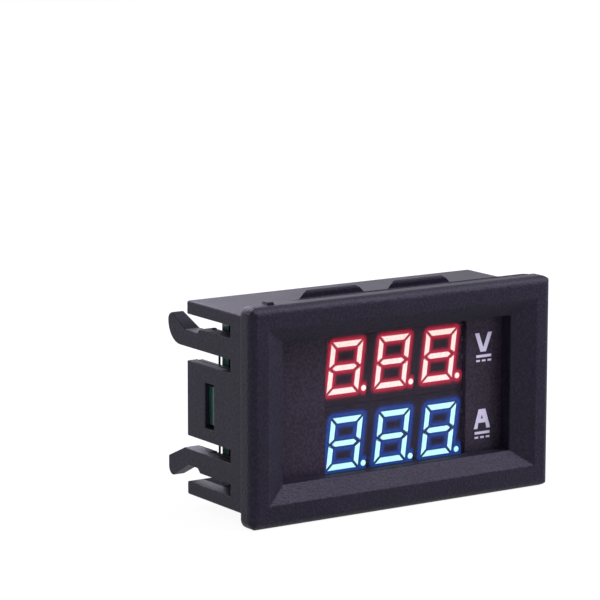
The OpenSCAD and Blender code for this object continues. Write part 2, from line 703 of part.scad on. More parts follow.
module smoothing_capacitor_body() color("#c98a2a") at_smoother() chip_body(smoother_l, smoother_w, smoother_t);
module smoothing_capacitor_leads() color("#c4c6c8") at_smoother() for (s = [-1, 1])
    translate([s * (smoother_l + smoother_lead) / 2, 0, smoother_t / 4 + chip_lift])
        cube([smoother_lead, smoother_w * 0.8, smoother_t / 2 + 2 * chip_lift], center = true);

// Chip places, (x, z) about the board's middle: resistors in a column with a capacitor at each
// end of it, and three capacitors by the microcontroller
column_x = sense_x - (shroud_w + chip_l) / 2 - resistor_gap;
function resistor_places() = [
    for (i = [0:resistor_count - 1]) [column_x, (i - (resistor_count - 1) / 2) * resistor_pitch]
];
function capacitor_places() = concat(
    [for (s = [-1, 1]) [column_x, s * (resistor_count + 1) / 2 * resistor_pitch]],
    [for (i = [0, 1]) [-mcu_inset, -mcu_drop - mcu_l / 2 - capacitor_gap - i * capacitor_pitch]],
    [[-mcu_inset, -mcu_drop + mcu_l / 2 + capacitor_gap]]
);

// A chip's ceramic middle, and its two plated ends
module chip_core(t) translate([0, 0, t / 2]) cube([chip_l - 2 * chip_end, chip_w, t], center = true);
module chip_caps(t) for (s = [-1, 1])
    translate([s * (chip_l - chip_end) / 2, 0, t / 2]) cube([chip_end, chip_w, t], center = true);

module chip_resistors() color("#2a2a2e") placed() for (p = resistor_places()) on_board(p.x, p.y) chip_core(resistor_t);
module chip_capacitors() color("#b89c72") placed() for (p = capacitor_places()) on_board(p.x, p.y) chip_core(capacitor_t);
module chip_ends() color("#c9cacc") placed() {
    for (p = resistor_places()) on_board(p.x, p.y) chip_caps(resistor_t);
    for (p = capacitor_places()) on_board(p.x, p.y) chip_caps(capacitor_t);
}

case();
window_film();
red_display_housing();
red_segments();
red_display_pins();
blue_display_housing();
blue_segments();
blue_display_pins();
circuit_board();
display_solder();
sense_socket_shroud();
sense_socket_pins();
supply_socket_shroud();
supply_socket_pins();
voltage_trimmer_base();
voltage_trimmer_rotor();
current_trimmer_base();
current_trimmer_rotor();
trimmer_terminals();
microcontroller_body();
microcontroller_leads();
amplifier_body();
amplifier_leads();
regulator_body();
regulator_leads();
diode_body();
diode_leads();
smoothing_capacitor_body();
smoothing_capacitor_leads();
chip_resistors();
chip_capacitors();
chip_ends();
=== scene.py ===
"""Twin digital panel meter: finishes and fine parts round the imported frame."""

import logging
import math
from dataclasses import dataclass, field
from enum import Enum
from typing import Any, Iterable, Sequence

import bmesh
import bpy
from mathutils import Matrix, Vector


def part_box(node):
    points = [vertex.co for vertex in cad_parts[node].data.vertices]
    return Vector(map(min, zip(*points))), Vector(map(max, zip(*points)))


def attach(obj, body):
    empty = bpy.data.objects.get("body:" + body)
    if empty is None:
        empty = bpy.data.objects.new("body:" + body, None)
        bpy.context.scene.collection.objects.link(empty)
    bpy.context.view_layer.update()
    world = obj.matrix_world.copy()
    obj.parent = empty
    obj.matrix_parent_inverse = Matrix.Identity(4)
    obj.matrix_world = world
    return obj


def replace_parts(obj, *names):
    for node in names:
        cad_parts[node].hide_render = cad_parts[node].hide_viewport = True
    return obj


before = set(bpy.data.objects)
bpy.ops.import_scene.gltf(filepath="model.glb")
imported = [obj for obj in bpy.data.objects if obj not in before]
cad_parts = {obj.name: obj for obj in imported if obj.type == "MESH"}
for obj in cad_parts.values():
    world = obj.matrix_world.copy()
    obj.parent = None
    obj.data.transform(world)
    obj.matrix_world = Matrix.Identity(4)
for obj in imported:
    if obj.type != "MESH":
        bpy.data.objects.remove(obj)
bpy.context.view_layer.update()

log = logging.getLogger("panel_meter")
MM = 0.001
METER = "meter"
FLOAT = "NodeSocketFloat"
COLOR = "NodeSocketColor"

Rgb = tuple[float, float, float]
Point = tuple[float, float]
Place = tuple[float, float, float]
Socket = bpy.types.NodeSocket
Tree = bpy.types.NodeTree
Material = bpy.types.Material
Solid = bmesh.types.BMesh

BLACK: Rgb = (0.0, 0.0, 0.0)
WHITE: Rgb = (1.0, 1.0, 1.0)


# ---------------------------------------------------------------- node helpers


class Graph:
    """Adds linked nodes to one node tree."""

    def __init__(self, tree: Tree) -> None:
        """Keeps the tree that the nodes go into."""
        self.tree = tree

    def add(
        self, kind: str, inputs: dict[Any, Any] | None = None, **settings: Any
    ) -> bpy.types.Node:
        """Adds a node.

        Args:
            kind: Blender's name for the node.
            inputs: values or sockets to feed, by the input's name or number.
            **settings: the node's own properties.

        Returns:
            The new node.
        """
        node = self.tree.nodes.new(kind)
        for name, value in settings.items():
            setattr(node, name, value)
        for key, value in (inputs or {}).items():
            self.feed(node.inputs[key], value)
        return node

    def feed(self, socket: Socket, value: Any) -> None:
        """Links a socket to another, or sets its value.

        Args:
            socket: the input to feed.
            value: a socket, a number, or a colour without its alpha.
        """
        if isinstance(value, bpy.types.NodeSocket):
            self.tree.links.new(value, socket)
        elif isinstance(value, tuple) and len(value) == 3 and socket.type == "RGBA":
            socket.default_value = (*value, 1.0)
        else:
            socket.default_value = value

    def math(self, operation: str, *values: Any, clamp: bool = False) -> Socket:
        """Adds a Math node and returns its result."""
        settings = {"operation": operation, "use_clamp": clamp}
        return self.add("ShaderNodeMath", dict(enumerate(values)), **settings).outputs[0]

    def highest(self, first: Any, *others: Any) -> Socket:
        """Adds nodes for the highest of some values.

        Args:
            first: one value.
            *others: the rest.

        Returns:
            The highest of them.
        """
        for value in others:
            first = self.math("MAXIMUM", first, value)
        return first

    def hypotenuse(self, a: Any, b: Any) -> Socket:
        """Adds nodes for the length of a flat vector."""
        squares = [self.math("MULTIPLY", side, side) for side in (a, b)]
        return self.math("SQRT", self.math("ADD", *squares))

    def mix(self, factor: Any, low: Any, high: Any, blend: str = "MIX") -> Socket:
        """Adds a colour Mix node.

        Args:
            factor: the second colour's share.
            low: the first colour.
            high: the second colour.
            blend: how the two are blended.

        Returns:
            The mixed colour.
        """
        node = self.add("ShaderNodeMix", data_type="RGBA", blend_type=blend)
        for number, value in ((0, factor), (6, low), (7, high)):
            self.feed(node.inputs[number], value)
        return node.outputs[2]

    def ramp(
        self, value: Any, low: float, high: float, to_low: float = 0.0, to_high: float = 1.0
    ) -> Socket:
        """Adds a smooth Map Range node.

        Args:
            value: what is mapped.
            low: where the ramp starts.
            high: where it ends.
            to_low: the result at its start.
            to_high: the result at its end.

        Returns:
            The mapped value.
        """
        ends = {"From Min": low, "From Max": high, "To Min": to_low, "To Max": to_high}
        kind, smooth = "ShaderNodeMapRange", "SMOOTHSTEP"
        return self.add(kind, {"Value": value, **ends}, interpolation_type=smooth).outputs[0]

    def place(self) -> Any:
        """Adds the piece's own coordinates and returns x, y and z."""
        coordinates = self.add("ShaderNodeTexCoord").outputs["Object"]
        return self.add("ShaderNodeSeparateXYZ", {0: coordinates}).outputs

    def shown(self) -> Socket:
        """Adds a mask of the rays that see the backdrop, directly or mirrored."""
        path = self.add("ShaderNodeLightPath").outputs
        mirrored = (path["Is Glossy Ray"], path["Is Transmission Ray"])
        return self.highest(path["Is Camera Ray"], *mirrored)


@dataclass
class Group:
    """A new shader node group, with what it is given and what it puts out.

    Its inputs are listed by name, kind of socket and default, its outputs by name and kind.
    """

    name: str
    inputs: Sequence[tuple[str, str, Any]]
    outputs: Sequence[tuple[str, str]]
    tree: Tree = field(init=False)
    graph: Graph = field(init=False)
    given: Any = field(init=False)
    out: Any = field(init=False)

    def __post_init__(self) -> None:
        """Makes the tree and its sockets."""
        self.tree = bpy.data.node_groups.new(self.name, "ShaderNodeTree")
        for label, kind, default in self.inputs:
            socket = self.tree.interface.new_socket(label, in_out="INPUT", socket_type=kind)
            socket.default_value = (*default, 1.0) if kind == COLOR else default
        for label, kind in self.outputs:
            self.tree.interface.new_socket(label, in_out="OUTPUT", socket_type=kind)
        self.graph = Graph(self.tree)
        self.given = self.graph.add("NodeGroupInput").outputs
        self.out = self.graph.add("NodeGroupOutput").inputs


@dataclass(frozen=True)
class Numerals:
    """Sizes of a row of numerals, in mm, as the part has them, and its bars' mitred ends."""

    centre_x: float = 0.95
    shift: float = 0.1
    pitch: float = 7.62
    width: float = 5.08
    height: float = 7.0
    bar: float = 0.8
    point: float = 0.84
    point_x: float = 3.42
    slant: float = math.radians(7.0)
    mitre: float = 0.23
    taper: float = 0.12

    @property
    def lean(self) -> float:
        """How far a numeral leans for each mm of height."""
        return math.tan(self.slant)

    @property
    def centres(self) -> list[float]:
        """The middle of each numeral, across."""
        return [self.centre_x - self.shift + step * self.pitch for step in (-1, 0, 1)]

    def bars(self, row_z: float) -> Iterable[list[Point]]:
        """Gives the outline of each bar of a row.

        Args:
            row_z: height of the row's middle, in mm.

        Yields:
            The bar's corners in mm, across and up.
        """
        k, w, h, b = self.mitre, self.width / 2, self.height / 2, self.bar
        inner = w - b
        level = [(-w + k, h), (w - k, h), (inner - k, h - b), (k - inner, h - b)]
        tip, neck = w - b / 2 - k, inner - k - self.taper
        upper = [(-tip, 0.0), (-neck, b / 2), (neck, b / 2)]
        lower = [(-x, -z) for x, z in upper]
        upright = [(w, h - k), (w, k / 2), (w - b / 4, k / 2)]
        upright += [(inner, b / 2 + k), (inner, h - b - k)]
        bars = [level, [(x, -z) for x, z in level], upper + lower]
        bars += [[(x * right, z * up) for x, z in upright] for right in (-1, 1) for up in (-1, 1)]
        for centre in self.centres:
            for bar in bars:
                yield [(centre + x + z * self.lean, row_z + z) for x, z in bar]

    def points(self, row_z: float) -> list[Point]:
        """Gives the middle of each decimal point of a row.

        Args:
            row_z: height of the row's middle, in mm.

        Returns:
            The middles in mm, across and up.
        """
        across = self.point_x - self.lean * self.height / 2
        z = row_z + (self.point - self.height) / 2
        return [(centre + across, z) for centre in self.centres]


@dataclass
class Effects:
    """Node groups that several finishes share."""

    fine_detail: float = 2.0
    fine_roughness: float = 0.6
    fine_span: Point = (0.35, 0.7)
    slow_scale: float = 160.0
    slow_detail: float = 3.0
    slow_span: Point = (0.3, 0.7)
    grain: Tree = field(init=False)
    numerals: Tree = field(init=False)
    opening: Tree = field(init=False)

    def __post_init__(self) -> None:
        """Builds each group once."""
        self.grain = self._grain()
        self.numerals = self._numerals()
        self.opening = self._opening()

    def near(self, graph: Graph, row_z: float) -> Socket:
        """Adds the distance in mm from the nearest bar of the row at a height in metres."""
        inputs = {"Row height": row_z}
        return graph.add("ShaderNodeGroup", inputs, node_tree=self.numerals).outputs[0]

    def past(self, graph: Graph, low: Vector, high: Vector, margin: float = 0.0) -> Socket:
        """Adds the distance past a box's edge, seen from the front.

        Args:
            graph: the material's graph.
            low: the box's lowest corner.
            high: its highest corner.
            margin: how far the box is widened on each side, in metres.

        Returns:
            The distance in metres.
        """
        middle, half = (low + high) / 2, (high - low) / 2
        inputs = {
            "Middle across": middle.x, "Middle up": middle.z,
            "Half width": half.x + margin, "Half height": half.z + margin,
        }
        return graph.add("ShaderNodeGroup", inputs, node_tree=self.opening).outputs[0]

    def _grain(self) -> Tree:
        """Builds a fine spark-eroded grain with a slow drift of tone.

        Returns:
            The group, with Color, Roughness and Height.
        """
        group = Group(
            "eroded_grain",
            [("Color", COLOR, (0.5, 0.5, 0.5)), ("Size", FLOAT, 0.2), ("Speckle", FLOAT, 0.2),
             ("Drift", FLOAT, 0.1), ("Roughness", FLOAT, 0.5), ("Variation", FLOAT, 0.1)],
            [("Color", COLOR), ("Roughness", FLOAT), ("Height", FLOAT)],
        )
        graph, given, out = group.graph, group.given, group.out
        place = graph.add("ShaderNodeTexCoord").outputs["Object"]
        fine = graph.add("ShaderNodeTexNoise", {
            "Vector": place, "Scale": graph.math("DIVIDE", 1 / MM, given["Size"]),
            "Detail": self.fine_detail, "Roughness": self.fine_roughness,
        }).outputs["Fac"]
        slow = graph.add("ShaderNodeTexNoise", {
            "Vector": place, "Scale": self.slow_scale, "Detail": self.slow_detail,
        }).outputs["Fac"]
        speck = graph.ramp(fine, *self.fine_span, -1.0, 1.0)
        drift = graph.ramp(slow, *self.slow_span, -1.0, 1.0)
        speck = graph.math("MULTIPLY", speck, given["Speckle"])
        drift = graph.math("MULTIPLY", drift, given["Drift"])
        gain = graph.math("ADD", graph.math("ADD", speck, drift), 1.0)
        grey = graph.add("ShaderNodeCombineColor", {0: gain, 1: gain, 2: gain}).outputs[0]
        swing = graph.math("SUBTRACT", slow, 0.5)
        rough = (swing, given["Variation"], given["Roughness"])
        graph.feed(out["Color"], graph.mix(1.0, given["Color"], grey, "MULTIPLY"))
        graph.feed(out["Roughness"], graph.math("MULTIPLY_ADD", *rough, clamp=True))
        graph.feed(out["Height"], fine)
        return group.tree

    @staticmethod
    def _numerals() -> Tree:
        """Builds the distance in mm from the edge of the nearest lit bar or point of a row.

        Returns:
            The group, with Distance, which is below 0 inside a bar.
        """
        n = Numerals()
        group = Group("numeral_distance", [("Row height", FLOAT, 0.0)], [("Distance", FLOAT)])
        graph, place = group.graph, group.graph.place()
        x = graph.math("SUBTRACT", place[0], (n.centre_x - n.shift) * MM)
        z = graph.math("SUBTRACT", place[2], group.given["Row height"])
        x, z = graph.math("DIVIDE", x, MM), graph.math("DIVIDE", z, MM)
        upright = graph.math("SUBTRACT", x, graph.math("MULTIPLY", z, n.lean))
        nearest = graph.math("ROUND", graph.math("DIVIDE", upright, n.pitch))
        nearest = graph.math("MINIMUM", graph.math("MAXIMUM", nearest, -1.0), 1.0)
        start = graph.math("MULTIPLY", nearest, n.pitch)
        across = graph.math("ABSOLUTE", graph.math("SUBTRACT", upright, start))
        side = graph.math("SUBTRACT", across, (n.width - n.bar) / 2)
        end = graph.math("SUBTRACT", graph.math("ABSOLUTE", z), (n.height - n.bar) / 2)
        past_side = graph.math("MAXIMUM", side, 0.0)
        outside = graph.hypotenuse(past_side, graph.math("MAXIMUM", end, 0.0))
        inside = graph.math("MINIMUM", graph.math("MAXIMUM", side, end), 0.0)
        outer_bars = graph.math("ABSOLUTE", graph.math("ADD", outside, inside))
        middle_bar = graph.hypotenuse(past_side, z)
        bars = graph.math("MINIMUM", outer_bars, middle_bar)
        bars = graph.math("SUBTRACT", bars, n.bar / 2)
        point_x = graph.math("SUBTRACT", graph.math("SUBTRACT", x, start),
                             n.point_x - n.lean * n.height / 2)
        point_z = graph.math("ADD", z, (n.height - n.point) / 2)
        point = graph.math("SUBTRACT", graph.hypotenuse(point_x, point_z), n.point / 2)
        graph.feed(group.out["Distance"], graph.math("MINIMUM", bars, point))
        return group.tree

    @staticmethod
    def _opening() -> Tree:
        """Builds the distance in metres past an upright rectangle's edge.

        Returns:
            The group, with Distance, which is below 0 inside the rectangle.
        """
        labels = ("Middle across", "Middle up", "Half width", "Half height")
        inputs = [(label, FLOAT, 0.0) for label in labels]
        group = Group("past_opening", inputs, [("Distance", FLOAT)])
        graph, given, place = group.graph, group.given, group.graph.place()
        past = []
        for axis, middle, half in (
            (0, given["Middle across"], given["Half width"]),
            (2, given["Middle up"], given["Half height"]),
        ):
            away = graph.math("ABSOLUTE", graph.math("SUBTRACT", place[axis], middle))
            past.append(graph.math("SUBTRACT", away, half))
        graph.feed(group.out["Distance"], graph.highest(*past))
        return group.tree


# -------------------------------------------------------------------- finishes


def new_material(name: str) -> tuple[Material, Graph, bpy.types.Node]:
    """Starts a node material.

    Args:
        name: the material's name.

    Returns:
        The material, its graph and its Principled shader.
    """
    material = bpy.data.materials.new(name)
    material.use_nodes = True
    material.node_tree.nodes.clear()
    graph = Graph(material.node_tree)
    shader = graph.add("ShaderNodeBsdfPrincipled")
    graph.add("ShaderNodeOutputMaterial", {"Surface": shader.outputs[0]})
    return material, graph, shader


def node_of(material: Material, kind: str) -> bpy.types.Node:
    """Finds a material's only node of a kind."""
    return next(node for node in material.node_tree.nodes if node.type == kind)


@dataclass(frozen=True)
class Moulded:
    """Finish of a moulded, pressed or printed surface with an eroded grain; sizes in mm."""

    name: str
    color: Rgb
    roughness: float = 0.5
    size: float = 0.2
    depth: float = 0.004
    speckle: float = 0.15
    drift: float = 0.08
    variation: float = 0.1
    specular: float = 0.5
    metallic: float = 0.0
    coat: float = 0.0
    subsurface: float = 0.0
    spread: Rgb = (1.0, 0.8, 0.6)
    spread_reach: float = 0.8

    def make(self, effects: Effects) -> Material:
        """Builds the material.

        Args:
            effects: the shared node groups.

        Returns:
            The new material.
        """
        material, graph, shader = new_material(self.name)
        grain = graph.add("ShaderNodeGroup", {
            "Color": self.color, "Size": self.size, "Speckle": self.speckle,
            "Drift": self.drift, "Roughness": self.roughness, "Variation": self.variation,
        }, node_tree=effects.grain)
        bump = graph.add("ShaderNodeBump", {
            "Height": grain.outputs["Height"], "Distance": self.depth * MM, "Strength": 1.0,
        })
        for label, value in (
            ("Base Color", grain.outputs["Color"]),
            ("Roughness", grain.outputs["Roughness"]),
            ("Normal", bump.outputs[0]),
            ("Metallic", self.metallic),
            ("Specular IOR Level", self.specular),
            ("Coat Weight", self.coat),
            ("Subsurface Weight", self.subsurface),
            ("Subsurface Radius", self.spread),
            ("Subsurface Scale", self.spread_reach * MM),
        ):
            graph.feed(shader.inputs[label], value)
        return material


@dataclass(frozen=True)
class Glow:
    """Light of one colour round and inside the bars of a row of numerals; sizes in mm."""

    name: str
    halo: Rgb
    core: Rgb
    rim: Rgb
    halo_strength: float
    bar_strength: float
    rise: float
    dip: float
    reach: float
    fall: float
    rim_width: float = 0.14
    bar_roughness: float = 0.4
    housing_color: Rgb = (0.037, 0.031, 0.043)
    housing_grain: float = 0.3
    lit_depth: float = 0.1
    dark_depth: float = 0.4

    def housing(self, row_z: float, face_y: float, effects: Effects) -> Material:
        """Builds the housing's material, whose face glows near the bars.

        Args:
            row_z: height of the row's middle, in metres.
            face_y: depth of the housing's face, in metres.
            effects: the shared node groups.

        Returns:
            The new material.
        """
        material, graph, shader = new_material(f"{self.name}_housing")
        inputs = {"Color": self.housing_color, "Size": self.housing_grain}
        grain = graph.add("ShaderNodeGroup", inputs, node_tree=effects.grain)
        near = effects.near(graph, row_z)
        rise = graph.ramp(near, 0.0, self.dip, self.rise, 1.0)
        fade = graph.ramp(near, self.dip, self.reach, 1.0, 0.0)
        level = graph.math("MULTIPLY", rise, graph.math("POWER", fade, self.fall))
        lit, dark = face_y + self.lit_depth * MM, face_y + self.dark_depth * MM
        face = graph.ramp(graph.place()[1], lit, dark, 1.0, 0.0)
        level = graph.math("MULTIPLY", level, face)
        for label, value in (
            ("Base Color", grain.outputs["Color"]),
            ("Roughness", grain.outputs["Roughness"]),
            ("Emission Color", graph.mix(level, BLACK, self.halo)),
            ("Emission Strength", self.halo_strength),
        ):
            graph.feed(shader.inputs[label], value)
        return material

    def bars(self, row_z: float, effects: Effects) -> Material:
        """Builds the lit bars' material, paler along their middles.

        Args:
            row_z: height of the row's middle, in metres.
            effects: the shared node groups.

        Returns:
            The new material.
        """
        material, graph, shader = new_material(f"{self.name}_bars")
        rim = graph.ramp(effects.near(graph, row_z), -self.rim_width, 0.0)
        light = graph.mix(rim, self.core, self.rim)
        for label, value in (
            ("Base Color", light),
            ("Roughness", self.bar_roughness),
            ("Emission Color", light),
            ("Emission Strength", self.bar_strength),
        ):
            graph.feed(shader.inputs[label], value)
        return material


CASE_BLACK = Moulded(
    "case_black", (0.0125, 0.0105, 0.0195),
    size=0.32, depth=0.1, speckle=0.4, drift=0.1, variation=0.12, specular=0.15,
)
FILM_SMOKE = Moulded(
    "film_smoke", (0.027, 0.020, 0.030),
    size=0.4, depth=0.003, speckle=0.32, drift=0.1, variation=0.08, specular=0.15,
)
METAL_TIN = Moulded(
    "tin_plate", (0.62, 0.61, 0.58), roughness=0.32,
    size=0.3, depth=0.0012, speckle=0.06, variation=0.2, metallic=1.0,
)
METAL_SOLDER = Moulded(
    "solder", (0.66, 0.67, 0.69), roughness=0.24,
    size=0.5, speckle=0.08, drift=0.1, variation=0.25, metallic=1.0,
)
BOARD_GREEN = Moulded(
    "board_green", (0.006, 0.055, 0.032), roughness=0.3,
    size=0.35, depth=0.001, speckle=0.12, drift=0.18, coat=0.3,
)
BOARD_TRACK = Moulded(
    "masked_copper", (0.010, 0.105, 0.055), roughness=0.28,
    size=0.35, depth=0.001, speckle=0.1, drift=0.12, coat=0.3,
)
BOARD_PRINT = Moulded(
    "board_print", (0.62, 0.63, 0.6), roughness=0.55,
    size=0.15, depth=0.001, speckle=0.1, drift=0.06,
)
SOCKET_WHITE = Moulded(
    "socket_nylon", (0.74, 0.72, 0.66), roughness=0.45,
    depth=0.0012, speckle=0.03, drift=0.04, subsurface=0.15,
)
TRIMMER_CREAM = Moulded(
    "trimmer_ceramic", (0.68, 0.62, 0.5), roughness=0.6,
    size=0.15, depth=0.002, speckle=0.06,
)
ROTOR_BRASS = Moulded(
    "rotor_brass", (0.66, 0.46, 0.2), roughness=0.3,
    depth=0.0015, speckle=0.08, drift=0.12, variation=0.2, metallic=1.0,
)
CHIP_BLACK = Moulded(
    "chip_epoxy", (0.018, 0.018, 0.02), roughness=0.55,
    size=0.12, depth=0.003, speckle=0.2, drift=0.1,
)
CHIP_MARK = Moulded(
    "chip_mark", (0.28, 0.28, 0.27), roughness=0.6,
    size=0.12, depth=0.001, speckle=0.12, drift=0.06,
)
CHIP_TAN = Moulded(
    "chip_ceramic", (0.33, 0.23, 0.13),
    size=0.12, depth=0.002, speckle=0.12, drift=0.1,
)
TANTALUM = Moulded(
    "tantalum_case", (0.55, 0.27, 0.05), roughness=0.45,
    size=0.15, depth=0.0015, speckle=0.08,
)
TANTALUM_BAND = Moulded(
    "tantalum_band", (0.10, 0.035, 0.012),
    size=0.15, depth=0.001, speckle=0.1,
)
MARK_PALE = Moulded(
    "printed_mark", (0.60, 0.60, 0.64), roughness=0.6,
    size=0.12, depth=0.001, speckle=0.06, drift=0.05,
)
RED_LIGHT = Glow(
    "red", halo=(1.0, 0.008, 0.075), core=(1.0, 0.80, 0.72), rim=(1.0, 0.56, 0.48),
    halo_strength=0.76, bar_strength=1.45, rise=0.85, dip=0.1, reach=1.35, fall=4.6,
)
BLUE_LIGHT = Glow(
    "blue", halo=(0.0, 0.15, 1.0), core=(0.56, 1.0, 1.0), rim=(0.33, 0.88, 1.0),
    halo_strength=0.48, bar_strength=1.5, rise=0.4, dip=0.25, reach=1.6, fall=4.4,
)


class Finish(Enum):
    """The finish of each plain CAD node."""

    TIN = METAL_TIN
    SOLDER = METAL_SOLDER
    BOARD = BOARD_GREEN
    NYLON = SOCKET_WHITE
    CERAMIC = TRIMMER_CREAM
    BRASS = ROTOR_BRASS
    EPOXY = CHIP_BLACK
    TANTALUM = TANTALUM
    CHIP = CHIP_TAN


NODE_FINISHES: dict[str, Finish] = {
    "red_display_pins": Finish.TIN,
    "blue_display_pins": Finish.TIN,
    "circuit_board": Finish.BOARD,
    "display_solder": Finish.SOLDER,
    "sense_socket_shroud": Finish.NYLON,
    "sense_socket_pins": Finish.TIN,
    "supply_socket_shroud": Finish.NYLON,
    "supply_socket_pins": Finish.TIN,
    "voltage_trimmer_base": Finish.CERAMIC,
    "voltage_trimmer_rotor": Finish.BRASS,
    "current_trimmer_base": Finish.CERAMIC,
    "current_trimmer_rotor": Finish.BRASS,
    "trimmer_terminals": Finish.TIN,
    "microcontroller_body": Finish.EPOXY,
    "microcontroller_leads": Finish.TIN,
    "amplifier_body": Finish.EPOXY,
    "amplifier_leads": Finish.TIN,
    "regulator_body": Finish.EPOXY,
    "regulator_leads": Finish.TIN,
    "diode_body": Finish.EPOXY,
    "diode_leads": Finish.TIN,
    "smoothing_capacitor_body": Finish.TANTALUM,
    "smoothing_capacitor_leads": Finish.TIN,
    "chip_resistors": Finish.EPOXY,
    "chip_capacitors": Finish.CHIP,
    "chip_ends": Finish.TIN,
}


# --------------------------------------------------------------- mesh helpers


def merged_copy(node: str, gap: float = 0.002, flat: float = 0.6) -> Solid:
    """Copies a CAD node's mesh, with its doubles merged and its flat faces whole.

    Args:
        node: the CAD node.
        gap: distance in mm up to which two corners count as one.
        flat: angle in degrees up to which two faces count as one.

    Returns:
        The copy.
    """
    bm = bmesh.new()
    bm.from_mesh(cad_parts[node].data)
    bmesh.ops.remove_doubles(bm, verts=bm.verts, dist=gap * MM)
    limit = math.radians(flat)
    bmesh.ops.dissolve_limit(bm, angle_limit=limit, verts=bm.verts, edges=bm.edges)
    return bm


def soften(bm: Solid, radius: float, degrees: float = 25.0, segments: int = 2) -> None:
    """Rounds a mesh's sharp edges.

    Args:
        bm: the mesh.
        radius: how far the rounding reaches, in mm.
        degrees: angle between two faces past which their edge is sharp.
        segments: steps across the rounding.
    """
    limit = math.radians(degrees)
    sharp = [edge for edge in bm.edges if edge.is_manifold and edge.calc_face_angle(0.0) > limit]
    bmesh.ops.bevel(
        bm, geom=sharp, offset=radius * MM, offset_type="OFFSET", segments=segments,
        profile=0.5, affect="EDGES", clamp_overlap=False, material=-1,
    )


def prism(bm: Solid, outline: Sequence[Point], front: float, back: float) -> None:
    """Adds a plate with its front and back upright.

    Args:
        bm: the mesh it goes into.
        outline: its corners in mm, across and up.
        front: depth of its front in mm.
        back: depth of its back in mm.
    """
    face = bm.faces.new([bm.verts.new((x * MM, front * MM, z * MM)) for x, z in outline])
    made = bmesh.ops.extrude_face_region(bm, geom=[face])["geom"]
    pushed = [item for item in made if isinstance(item, bmesh.types.BMVert)]
    bmesh.ops.translate(bm, verts=pushed, vec=(0.0, (back - front) * MM, 0.0))
    bmesh.ops.recalc_face_normals(bm, faces=bm.faces)


def strip(
    bm: Solid, start: Point, end: Point, width: float, front: float, back: float
) -> None:
    """Adds a straight strip with its front and back upright.

    Args:
        bm: the mesh it goes into.
        start: middle of its first end in mm, across and up.
        end: middle of its other end in mm.
        width: its width in mm.
        front: depth of its front in mm.
        back: depth of its back in mm.
    """
    run, middle = Vector(end) - Vector(start), (Vector(end) + Vector(start)) / 2
    place = Matrix.Translation((middle.x, (front + back) / 2, middle.y))
    turn = Matrix.Rotation(-math.atan2(run.y, run.x), 4, "Y")
    size = Matrix.Diagonal((run.length, back - front, width, 1.0))
    bmesh.ops.create_cube(bm, size=1.0, matrix=Matrix.Scale(MM, 4) @ place @ turn @ size)


def disc(
    bm: Solid, centre: Point, radius: float, front: float, back: float, corners: int = 16
) -> None:
    """Adds a round plate with its front and back upright.

    Args:
        bm: the mesh it goes into.
        centre: its middle in mm, across and up.
        radius: its radius in mm.
        front: depth of its front in mm.
        back: depth of its back in mm.
        corners: how many corners its outline has.
    """
    place = Matrix.Translation((centre[0], (front + back) / 2, centre[1]))
    upright = Matrix.Rotation(math.pi / 2, 4, "X")
    half_step = Matrix.Rotation(math.pi / corners, 4, "Z")
    bmesh.ops.create_cone(
        bm, cap_ends=True, segments=corners, radius1=radius, radius2=radius,
        depth=back - front, matrix=Matrix.Scale(MM, 4) @ place @ upright @ half_step,
    )


def finished(
    name: str, bm: Solid, material: Material, slot: str = "", smooth: float = 20.0
) -> bpy.types.Object:
    """Turns a bmesh into a piece that rides on the meter.

    Args:
        name: the piece's name.
        bm: its mesh, in place, which is freed.
        material: its finish.
        slot: not used.
        smooth: angle in degrees under which two faces shade as one.

    Returns:
        The new object.
    """
    mesh = bpy.data.meshes.new(name)
    bm.to_mesh(mesh)
    bm.free()
    mesh.shade_smooth()
    mesh.set_sharp_from_angle(angle=math.radians(smooth))
    mesh.materials.append(material)
    piece = bpy.data.objects.new(name, mesh)
    bpy.context.scene.collection.objects.link(piece)
    weighted = piece.modifiers.new("weighted", "WEIGHTED_NORMAL")
    weighted.keep_sharp = True
    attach(piece, METER)
    log.info("%s: %d faces", name, len(mesh.polygons))
    return piece


def dress(node: str, material: Material) -> None:
    """Gives a CAD node a finish.

    Args:
        node: the CAD node.
        material: its finish.
    """
    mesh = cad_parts[node].data
    mesh.materials.clear()
    mesh.materials.append(material)
    log.info("%s: %s", node, material.name)


# -------------------------------------------------------------- sub-assemblies


